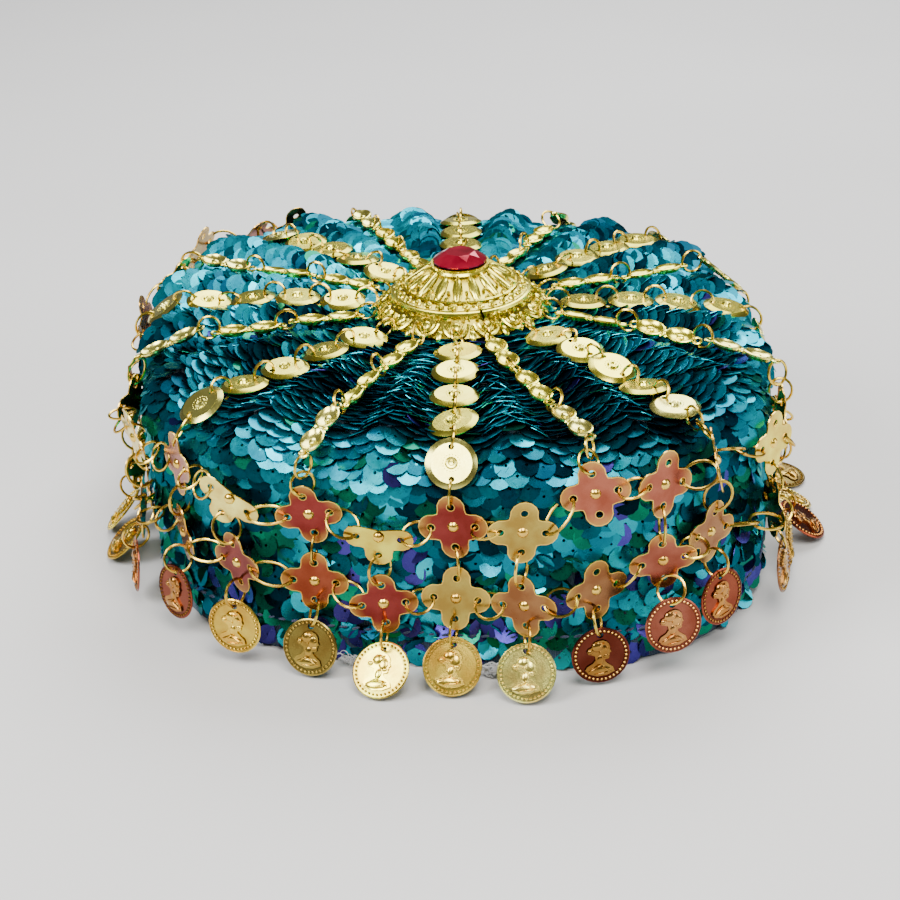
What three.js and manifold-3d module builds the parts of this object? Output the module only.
// A traditional sequined pillbox cap under a net of sheet-metal flowers and coins.
// Millimetres, +Z up. The cap stands on its rim at z = 0, its long axis runs along Y and its front is at -Y.

import * as THREE from "three";
import { mergeVertices } from "three/addons/utils/BufferGeometryUtils.js";
import Module from "manifold-3d";

// Cap: outside sizes are over the sequins
const capLength = 198;
const capWidth = 178;
const endReach = 4.5; // how far the outline's four ends stand out, and its sides between them draw in
const capHeight = 64; // under the medallion
const topFall = 2; // the top is this much lower at its edge
const edgeRadius = 12;
const rimDrawIn = 2; // the rim stands this far inside the widest line
const clothWall = 2.4; // cloth, padding and sequins
const hemHeight = 8;
const hemWall = 3;
const topPuff = 3.5; // how far the padded lobes rise between the strands
const sidePuff = 1.5;
const puffStart = 32; // from the middle of the medallion
const puffFull = 54;
const grooveShare = 0.45; // half width of a strand's groove, in columns
const seamShare = 0.5; // how far round the edge the top's cloth reaches before the side band's begins
const gap = 0.3; // clearance between neighbouring pieces
const clothClear = 0.7; // metal over the smooth line of the cloth, whose facets stand a little proud

// Medallion: one soldered filigree piece
const medallionX = 3;
const medallionY = -2.5;
const skirtRadius = 24.5;
const bandRadius = 18.5;
const domeRadius = 15.5;
const colletRadius = 8;
const skirtHeight = 4.6;
const bandHeight = 7;
const domeHeight = 12;
const colletHeight = 13.6;
const medallionWall = 1;
const scallops = 16;
const scallopDepth = 1.6;
const archWidth = 3;
const archRim = 1.3; // metal left inside and outside each arch
const stoneRadius = 7.4;
const stoneSeat = 0.8; // how deep the stone sits in its collet
const stoneHeight = 3.4;
const stoneTableShare = 0.55;
const stoneSides = 12;

// Strands and net
const sheet = 0.9; // stamped metal with its relief
const wire = 0.7;
const ringSize = 8;
const discDiameter = 12.8;
const ovalLength = 20;
const ovalWidth = 5.6;
const ovalDepth = 1.5;
const flowerSpan = 17.4;
const lobeWidth = 7;
const holeReach = 5.5; // from a flower's or coin's middle to its holes
const coinDiameter = 14.8;
const rowPitch = 19.5; // from the upper flower to the lower one
const netBelow = 7.6; // how much further over the cloth the upper flowers lie than its mean reach
const firstDisc = 33.5; // distances over the cloth from the middle of the medallion
const firstOval = 37.5;
const discs = 5; // to a strand
const ovals = 3;
const discToFlower = 16.4; // from a strand's last disc or link to its flower, middle to middle
const ovalToFlower = 21.5;
const wireInset = 0.7; // how deep the link wire reaches into a sheet's edge
const crestLift = 1.3; // columns between the strands ride a little higher
const coinRingSwing = 42; // degrees from straight down, outwards
const coinClear = 0.6; // the coins' lower edges over the surface the cap stands on
const coinRest = 6; // degrees, the lean of a coin that hangs free

// The strands in order round the medallion: at is where each meets the net, and lean is how far
// its inner end is turned from there, both in degrees.
const strands = [
  { kind: "disc", at: -133, lean: 0 },
  { kind: "oval", at: -111.5, lean: -6 },
  { kind: "disc", at: -93, lean: 8 },
  { kind: "oval", at: -66, lean: 6 },
  { kind: "disc", at: -43, lean: 0 },
  { kind: "oval", at: -19.5, lean: 0 },
  { kind: "disc", at: 3, lean: 0 },
  { kind: "oval", at: 26, lean: 0 },
  { kind: "disc", at: 49, lean: 0 },
  { kind: "oval", at: 70, lean: 0 },
  { kind: "disc", at: 89, lean: 0 },
  { kind: "oval", at: 108, lean: 0 },
  { kind: "disc", at: 128.5, lean: 0 },
  { kind: "oval", at: 150, lean: 0 },
  { kind: "disc", at: 178, lean: 0 },
  { kind: "oval", at: 203, lean: 0 },
];

// How the upper and lower flowers and the coins have settled: turns in their own planes, or about
// the rings for the coins, in degrees, and how far the flowers hang below their rows. The rows
// repeat round the net.
const settled = [
  { upperTurn: 4, upperSag: -1, lowerTurn: -3, lowerSag: -0.5, coinTurn: 6 },
  { upperTurn: -5, upperSag: 1.5, lowerTurn: 6, lowerSag: 2.5, coinTurn: -4 },
  { upperTurn: 8, upperSag: -2.5, lowerTurn: 2, lowerSag: 4, coinTurn: 3 },
  { upperTurn: -10, upperSag: -1, lowerTurn: 9, lowerSag: 0, coinTurn: -6 },
  { upperTurn: 6, upperSag: -1, lowerTurn: -7, lowerSag: -1, coinTurn: 2 },
  { upperTurn: -3, upperSag: 0, lowerTurn: 5, lowerSag: -1.5, coinTurn: 8 },
  { upperTurn: 9, upperSag: -1, lowerTurn: -4, lowerSag: -1.5, coinTurn: -3 },
  { upperTurn: -8, upperSag: 0.5, lowerTurn: 3, lowerSag: 0, coinTurn: -7 },
];

const columns = 2 * strands.length;
const degrees = Math.PI / 180;
const bend = (edgeRadius * Math.PI) / 2; // the cloth's length round the edge
const side = capHeight - topFall - edgeRadius; // where the upright wall begins
const upperFlower = (capLength + capWidth) / 4 + netBelow;
const discPitch = (upperFlower - discToFlower - firstDisc) / (discs - 1);
const ovalPitch = (upperFlower - ovalToFlower - firstOval) / (ovals - 1);

const wasm = await Module();
wasm.setup();

// Solids

function toSolid(geometry) {
  const bare = geometry.clone();
  for (const name of Object.keys(bare.attributes)) {
    if (name !== "position") bare.deleteAttribute(name);
  }
  const merged = mergeVertices(bare, 1e-4);
  return new wasm.Manifold(
    new wasm.Mesh({
      numProp: 3,
      vertProperties: new Float32Array(merged.attributes.position.array),
      triVerts: new Uint32Array(merged.index.array),
    }),
  );
}

function toGeometry(solid) {
  const mesh = solid.getMesh();
  const geometry = new THREE.BufferGeometry();
  geometry.setAttribute("position", new THREE.BufferAttribute(mesh.vertProperties, 3));
  geometry.setIndex(new THREE.BufferAttribute(mesh.triVerts, 1));
  geometry.computeVertexNormals();
  return geometry;
}

function joined(solids) {
  return solids.reduce((whole, piece) => whole.add(piece));
}

// A plate of an outline in its own plane, centred on it, with y along the strand.
function plate(points, thickness) {
  const shape = new THREE.Shape(points.map(([x, y]) => new THREE.Vector2(x, y)));
  const geometry = new THREE.ExtrudeGeometry(shape, { depth: thickness, bevelEnabled: false });
  return geometry.translate(0, 0, -thickness / 2);
}

// A regular outline with a flat side across the strand at each end.
function regular(radius, sides) {
  return Array.from({ length: sides }, (_, i) => {
    const turn = (i / sides) * 2 * Math.PI;
    return [radius * Math.cos(turn), radius * Math.sin(turn)];
  });
}

// A straight run of link wire between two points, three-sided.
function link(from, to) {
  const along = to.clone().sub(from);
  const bar = plate(regular(wire / 2, 3), along.length());
  const turn = new THREE.Quaternion().setFromUnitVectors(
    new THREE.Vector3(0, 0, 1),
    along.clone().normalize(),
  );
  const middle = from.clone().add(to).multiplyScalar(0.5);
  return toSolid(bar.applyQuaternion(turn).translate(middle.x, middle.y, middle.z));
}

// Cloth surface

// The cap's outline from its own middle: an oval with four soft corners, at its ends and sides.
function outline(turn) {
  const mean = (capLength + capWidth) / 4 - endReach;
  const longer = (capLength - capWidth) / 4;
  return mean - longer * Math.cos(2 * turn) + endReach * Math.cos(4 * turn);
}

// The same outline from the medallion's middle, which lies a little off the cap's.
function outlineReach(angle) {
  const inside = (r) => {
    const x = medallionX + r * Math.cos(angle);
    const y = medallionY + r * Math.sin(angle);
    return Math.hypot(x, y) < outline(Math.atan2(y, x));
  };
  let near = 0;
  let far = capLength;
  for (let step = 0; step < 40; step += 1) {
    const middle = (near + far) / 2;
    if (inside(middle)) near = middle;
    else far = middle;
  }
  return near;
}

// A value of the strand table at any column: the strands are the even columns.
function strandValue(column, name) {
  const place = column / 2;
  const before = Math.floor(place);
  const share = place - before;
  const turns = (index) => Math.floor(index / strands.length) * (name === "at" ? 360 : 0);
  const row = (index) => strands[((index % strands.length) + strands.length) % strands.length];
  const value = (index) => row(index)[name] + turns(index);
  return value(before) * (1 - share) + value(before + 1) * share;
}

// 0 in a strand's groove and 1 on the crest between two strands
function crest(column) {
  const fromStrand = Math.abs(column / 2 - Math.round(column / 2)) * 2;
  return Math.max(0, (fromStrand - grooveShare) / (1 - grooveShare));
}

// The cloth's outside at a column and a distance over it from the middle of the medallion.
function cloth(column, distance, inward = 0) {
  const outer = strandValue(column, "at") * degrees;
  const reach = outlineReach(outer);
  const flat = reach - edgeRadius;
  const puff = crest(column);
  let radius;
  let z;
  let lean;
  let rise;
  if (distance <= flat) {
    radius = distance;
    z = capHeight - topFall * (distance / flat) ** 2;
    lean = 0;
    const share = (distance - puffStart) / (puffFull - puffStart);
    rise = topPuff * THREE.MathUtils.clamp(share, 0, 1);
  } else if (distance <= flat + bend) {
    lean = (distance - flat) / edgeRadius;
    radius = flat + edgeRadius * Math.sin(lean);
    z = side + edgeRadius * Math.cos(lean);
    rise = THREE.MathUtils.lerp(topPuff, sidePuff, (distance - flat) / bend);
  } else {
    z = side - (distance - flat - bend);
    const share = 1 - z / side;
    radius = reach - rimDrawIn * share ** 2;
    lean = Math.PI / 2 + (2 * rimDrawIn * share) / side;
    rise = sidePuff * (1 - Math.min(1, share));
  }
  const out = rise * puff - inward;
  const turn = outer + strandValue(column, "lean") * degrees * Math.max(0, 1 - distance / flat);
  const r = radius + out * Math.sin(lean);
  return new THREE.Vector3(
    medallionX + r * Math.cos(turn),
    medallionY + r * Math.sin(turn),
    z + out * Math.cos(lean),
  );
}

// A frame on the cloth: x across, y back up the strand, z outwards.
function seat(column, distance, lift) {
  const step = 0.2;
  const down = cloth(column, distance + step).sub(cloth(column, distance - step)).normalize();
  const across = cloth(column + step, distance).sub(cloth(column - step, distance)).normalize();
  const out = down.clone().cross(across).normalize();
  const up = down.clone().negate();
  const x = up.clone().cross(out).normalize();
  const frame = new THREE.Matrix4().makeBasis(x, up, out);
  return frame.setPosition(cloth(column, distance).addScaledVector(out, lift));
}

// A frame for a sheet that rests on the cloth's highest points under it.
function resting(column, distance, halfWidth, halfLength, thickness) {
  const flat = seat(column, distance, 0);
  const inverse = flat.clone().invert();
  const left = cloth(column - 0.5, distance);
  const perColumn = cloth(column + 0.5, distance).distanceTo(left);
  let highest = 0;
  for (let i = 0; i < 16; i += 1) {
    const turn = (i / 16) * 2 * Math.PI;
    for (const share of [0.5, 1]) {
      const beside = column + (share * halfWidth * Math.cos(turn)) / perColumn;
      const point = cloth(beside, distance - share * halfLength * Math.sin(turn));
      highest = Math.max(highest, point.applyMatrix4(inverse).z);
    }
  }
  return seat(column, distance, highest + clothClear + thickness / 2);
}

// The distance over the cloth at which the side has come down to a height.
function distanceAt(column, z) {
  const reach = outlineReach(strandValue(column, "at") * degrees);
  return reach - edgeRadius + bend + side - z;
}

// The cap is lofted through three sections to each strand: both sides of its groove, and the crest.
const sections = strands.flatMap((_, i) => [2 * i - grooveShare, 2 * i + grooveShare, 2 * i + 1]);

// A closed skin through rows of points, one row for each section. Rows that start and end at the
// middle close there, and the others close on themselves.
function loft(at, rowOf, capped) {
  const rows = at.map(rowOf);
  const points = rows.flat();
  const size = rows[0].length;
  const faces = [];
  const quad = (a, b, c, d) => faces.push(a, b, c, a, c, d);
  const last = capped ? size - 1 : size;
  rows.forEach((_, i) => {
    const here = i * size;
    const next = ((i + 1) % rows.length) * size;
    for (let j = 0; j < last; j += 1) {
      const k = (j + 1) % size;
      if (capped && j === 0) faces.push(here, here + 1, next + 1);
      else if (capped && k === size - 1) faces.push(here + j, here + k, next + j);
      else quad(here + j, here + k, next + k, next + j);
    }
  });
  const geometry = new THREE.BufferGeometry().setFromPoints(points);
  geometry.setIndex(faces);
  return geometry;
}

// Where the top's cloth ends and the side band's begins.
function seamDistance(column) {
  const reach = outlineReach(strandValue(column, "at") * degrees);
  return reach - edgeRadius + bend * seamShare;
}

function crownTop() {
  return loft(sections, (column) => {
    const seam = seamDistance(column) - gap / 2;
    const flat = seam - bend * seamShare;
    const outside = [0, puffStart, puffFull, flat, seam].map((s) => cloth(column, s));
    const inside = [seam, flat, puffFull, 0].map((s) => cloth(column, s, clothWall));
    return [...outside, ...inside];
  }, true);
}

function sideBand() {
  return loft(sections, (column) => {
    const seam = seamDistance(column) + gap / 2;
    const shoulder = distanceAt(column, side);
    const waist = distanceAt(column, side / 2);
    const foot = distanceAt(column, hemHeight + gap);
    const outside = [seam, shoulder, waist, foot].map((s) => cloth(column, s));
    const inside = [foot, shoulder, seam].map((s) => cloth(column, s, clothWall));
    return [...outside, ...inside];
  }, false);
}

function rimHem() {
  const everyColumn = Array.from({ length: columns }, (_, column) => column);
  return loft(everyColumn, (column) => {
    const upper = distanceAt(column, hemHeight);
    const lower = distanceAt(column, 0);
    const flatFoot = (point) => point.setZ(0);
    return [
      cloth(column, upper),
      flatFoot(cloth(column, lower)),
      flatFoot(cloth(column, lower, hemWall)),
      cloth(column, upper, hemWall).setZ(hemHeight),
    ];
  }, false);
}

// Medallion and stone

function medallionShell() {
  const wall = medallionWall;
  const profile = [
    [skirtRadius, 0],
    [bandRadius, skirtHeight],
    [domeRadius, bandHeight],
    [colletRadius, domeHeight],
    [colletRadius, colletHeight],
    [colletRadius - wall, colletHeight],
    [colletRadius - wall, domeHeight - wall],
    [skirtRadius - 2 * wall, 0],
  ];
  const points = [...profile, profile[0]].map(([r, z]) => new THREE.Vector2(r, z));
  const shell = new THREE.LatheGeometry(points, 2 * scallops).rotateX(Math.PI / 2);
  const place = shell.attributes.position;
  for (let i = 0; i < place.count; i += 1) {
    const r = Math.hypot(place.getX(i), place.getY(i));
    if (r > skirtRadius - wall) {
      const turn = Math.atan2(place.getY(i), place.getX(i));
      const scale = (r - (scallopDepth * (1 - Math.cos(scallops * turn))) / 2) / r;
      place.setXY(i, place.getX(i) * scale, place.getY(i) * scale);
    }
  }
  return toSolid(shell);
}

// One arch of the skirt's openwork, cut through its slope.
function arch(index) {
  const middle = (skirtRadius + bandRadius) / 2;
  const half = (skirtRadius - bandRadius) / 2 - archRim;
  const triangle = [
    [half, -archWidth / 2],
    [half, archWidth / 2],
    [-half, 0],
  ];
  const cutter = plate(triangle, 2 * colletHeight).translate(middle, 0, 0);
  return toSolid(cutter.rotateZ((index / scallops) * 2 * Math.PI));
}

function medallion() {
  const cutters = Array.from({ length: scallops }, (_, i) => arch(i));
  const upright = medallionShell();
  return toGeometry(cutters.reduce((shell, cutter) => shell.subtract(cutter), upright));
}

function redStone() {
  const profile = [
    [0, 0],
    [stoneRadius * 0.7, 0],
    [stoneRadius, stoneSeat],
    [stoneRadius * stoneTableShare, stoneHeight],
    [0, stoneHeight],
  ];
  const points = profile.map(([r, z]) => new THREE.Vector2(r, z));
  return new THREE.LatheGeometry(points, stoneSides).rotateX(Math.PI / 2);
}

// Strands

function ovalOutline() {
  const end = ovalLength / 2;
  const half = ovalWidth / 2;
  const quarter = [
    [half * 0.3, end],
    [half, end * 0.5],
  ];
  const right = [...quarter, [half * 0.4, 0], ...quarter.map(([x, y]) => [x, -y]).reverse()];
  return [...right, ...right.map(([x, y]) => [-x, y]).reverse()].reverse();
}

function flowerOutline() {
  const tip = flowerSpan / 2;
  const half = lobeWidth * 0.36;
  const notch = lobeWidth * 0.46;
  const lobe = [
    [tip - 0.2, -half],
    [tip - 0.2, half],
    [notch, notch],
  ];
  return [0, 1, 2, 3].flatMap((turn) =>
    lobe.map(([x, y]) => {
      const c = Math.round(Math.cos((turn * Math.PI) / 2));
      const s = Math.round(Math.sin((turn * Math.PI) / 2));
      return [c * x - s * y, s * x + c * y];
    }),
  );
}

function placed(geometry, frame) {
  return toSolid(geometry.applyMatrix4(frame));
}

// A point of a seated piece, y along the strand in the piece's own plane.
function onPiece(frame, x, y) {
  return new THREE.Vector3(x, y, 0).applyMatrix4(frame);
}

function strand(index) {
  const column = 2 * index;
  const disc = strands[index].kind === "disc";
  const count = disc ? discs : ovals;
  const first = disc ? firstDisc : firstOval;
  const pitch = disc ? discPitch : ovalPitch;
  const halfLength = (disc ? discDiameter : ovalLength) / 2;
  const halfWidth = (disc ? discDiameter : ovalWidth) / 2;
  const thickness = disc ? sheet : ovalDepth;
  const reach = (disc ? halfLength * Math.cos(Math.PI / 10) : halfLength) - wireInset;
  const frames = Array.from({ length: count }, (_, i) =>
    resting(column, first + i * pitch, halfWidth, halfLength, thickness),
  );
  const pieces = frames.map((frame) =>
    placed(plate(disc ? regular(discDiameter / 2, 10) : ovalOutline(), thickness), frame),
  );
  const start = seat(column, skirtRadius + gap, clothClear + sheet / 2);
  const stop = onPiece(flowerFrame(column, 0), 0, flowerSpan / 2 + gap);
  const ends = [onPiece(start, 0, 0), ...frames.map((f) => onPiece(f, 0, -reach))];
  const heads = [...frames.map((f) => onPiece(f, 0, reach)), stop];
  const links = ends.map((from, i) => link(from, heads[i]));
  return toGeometry(joined([...pieces, ...links]));
}

// Net

// The frame of an upper or lower flower.
function flowerFrame(column, row) {
  const { upperTurn, upperSag, lowerTurn, lowerSag } = settled[column % settled.length];
  const turn = (row === 0 ? upperTurn : lowerTurn) * degrees;
  const distance = row === 0 ? upperFlower + upperSag : upperFlower + rowPitch + lowerSag;
  const half = flowerSpan / 2;
  const frame = resting(column, distance, half, half, sheet);
  frame.multiply(new THREE.Matrix4().makeTranslation(0, 0, column % 2 ? crestLift : 0));
  return frame.multiply(new THREE.Matrix4().makeRotationZ(turn));
}

// A coin hangs from its ring, and leans out so far that its lower edge stays over the surface.
function coinFrame(column) {
  const flower = flowerFrame(column, 1);
  const hook = onPiece(flower, 0, -holeReach);
  const out = new THREE.Vector3().setFromMatrixColumn(flower, 2).setZ(0).normalize();
  const across = new THREE.Vector3(0, 0, 1).cross(out);
  const swing = coinRingSwing * degrees;
  const hole = hook
    .clone()
    .addScaledVector(out, (ringSize - wire) * Math.sin(swing))
    .add(new THREE.Vector3(0, 0, -(ringSize - wire) * Math.cos(swing)));
  const below = holeReach + coinDiameter / 2;
  const room = (hole.z - coinClear - sheet / 2) / below;
  const lean = Math.max(coinRest * degrees, Math.acos(Math.min(1, room)));
  const up = new THREE.Vector3(0, 0, Math.cos(lean)).addScaledVector(out, -Math.sin(lean));
  const frame = new THREE.Matrix4().makeBasis(across, up, across.clone().cross(up));
  frame.setPosition(hole.addScaledVector(up, -holeReach));
  const turn = settled[column % settled.length].coinTurn * degrees;
  return frame.multiply(new THREE.Matrix4().makeRotationY(turn));
}

function netDrop(column) {
  const upper = flowerFrame(column, 0);
  const lower = flowerFrame(column, 1);
  const coin = coinFrame(column);
  const inner = flowerSpan / 2 - wireInset;
  const coinTop = (coinDiameter / 2) * Math.cos(Math.PI / 10) - wireInset;
  const pieces = [
    placed(plate(flowerOutline(), sheet), upper),
    placed(plate(flowerOutline(), sheet), lower),
    placed(plate(regular(coinDiameter / 2, 10), sheet), coin),
    link(onPiece(upper, 0, -inner), onPiece(lower, 0, inner)),
    link(onPiece(lower, 0, -inner), onPiece(coin, 0, coinTop)),
  ];
  const next = flowerFrame((column + 1) % columns, 0);
  const from = onPiece(upper, inner, 0);
  const to = onPiece(next, -flowerSpan / 2, 0);
  const along = to.clone().sub(from).normalize();
  pieces.push(link(from, to.addScaledVector(along, -gap - wire / 2)));
  return toGeometry(joined(pieces));
}

// Materials, one for each finish

const sequinTeal = new THREE.MeshStandardMaterial({
  color: 0x0f8fa0,
  roughness: 0.3,
  metalness: 0.6,
});
const hemCloth = new THREE.MeshStandardMaterial({ color: 0x16324a, roughness: 0.9 });
const lemonGold = new THREE.MeshStandardMaterial({
  color: 0xd9cc6a,
  roughness: 0.3,
  metalness: 1,
});
const brass = new THREE.MeshStandardMaterial({ color: 0xb9924e, roughness: 0.35, metalness: 1 });
const redGlass = new THREE.MeshStandardMaterial({ color: 0xb3203a, roughness: 0.1 });

const hat = new THREE.Group();

function add(name, geometry, material) {
  const mesh = new THREE.Mesh(geometry, material);
  mesh.name = name;
  hat.add(mesh);
  return mesh;
}

add("crown_top", crownTop(), sequinTeal);
add("side_band", sideBand(), sequinTeal);
add("rim_hem", rimHem(), hemCloth);
add("medallion", medallion(), lemonGold).position.set(medallionX, medallionY, capHeight + gap);
const stoneFloor = capHeight + gap + colletHeight - stoneSeat / 2;
add("red_stone", redStone(), redGlass).position.set(medallionX, medallionY, stoneFloor);
const counts = { disc: 0, oval: 0 };
strands.forEach(({ kind }, i) => {
  counts[kind] += 1;
  add(`${kind}_strand_${counts[kind]}`, strand(i), lemonGold);
});
for (let column = 0; column < columns; column += 1) {
  add(`net_drop_${String(column + 1).padStart(2, "0")}`, netDrop(column), brass);
}

// The origin is the middle of the whole hat's box, on the surface it stands on.
const box = new THREE.Box3().setFromObject(hat);
hat.position.set(-(box.min.x + box.max.x) / 2, -(box.min.y + box.max.y) / 2, -box.min.z);

export default hat;
